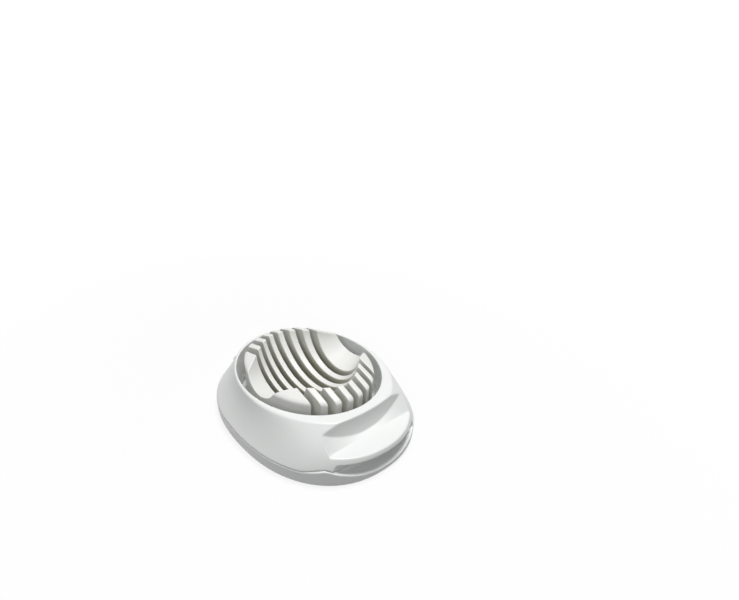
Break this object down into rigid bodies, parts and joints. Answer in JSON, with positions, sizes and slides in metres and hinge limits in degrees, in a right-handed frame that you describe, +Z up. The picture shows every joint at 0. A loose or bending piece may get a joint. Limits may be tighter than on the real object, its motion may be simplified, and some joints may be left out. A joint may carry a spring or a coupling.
{
  "type": "egg slicer",
  "caption": "Oval tabletop egg slicer: a slotted dished cradle on a low base, with a rear-hinged ring lid that carries parallel cutting wires, a thumb rest and a finger gap.",
  "frame": {"origin": "centre of the outline on the table, under the base", "axes": "+Z up, +Y to the hinge at the back, the thumb rest is at -Y, the slots are spaced along X"},
  "size_m": [0.0928, 0.1178, 0.0346],
  "materials": {
    "white_plastic": "glossy",
    "cradle_plastic": "glossy",
    "wire_steel": "drawn stainless wire",
    "pin_steel": "polished"
  },
  "bodies": {
    "base": {"base": "white_plastic", "cradle": "cradle_plastic", "hinge_pin_left": "pin_steel", "hinge_pin_right": "pin_steel"},
    "lid": {"lid": "white_plastic", "wire_ring": "white_plastic", "slicing_wire_1": "wire_steel", "slicing_wire_2": "wire_steel", "slicing_wire_3": "wire_steel", "slicing_wire_4": "wire_steel", "slicing_wire_5": "wire_steel", "slicing_wire_6": "wire_steel", "slicing_wire_7": "wire_steel", "wire_crimps_1": "wire_steel", "wire_crimps_2": "wire_steel", "wire_crimps_3": "wire_steel", "wire_crimps_4": "wire_steel", "wire_crimps_5": "wire_steel", "wire_crimps_6": "wire_steel", "wire_crimps_7": "wire_steel"}
  },
  "joints": [
    {"name": "lid_hinge", "type": "hinge", "parent": "base", "child": "lid", "pos_m": [0, 0.0561, 0.00865], "axis": [-1, 0, 0], "range_deg": [0, 110]}
  ]
}
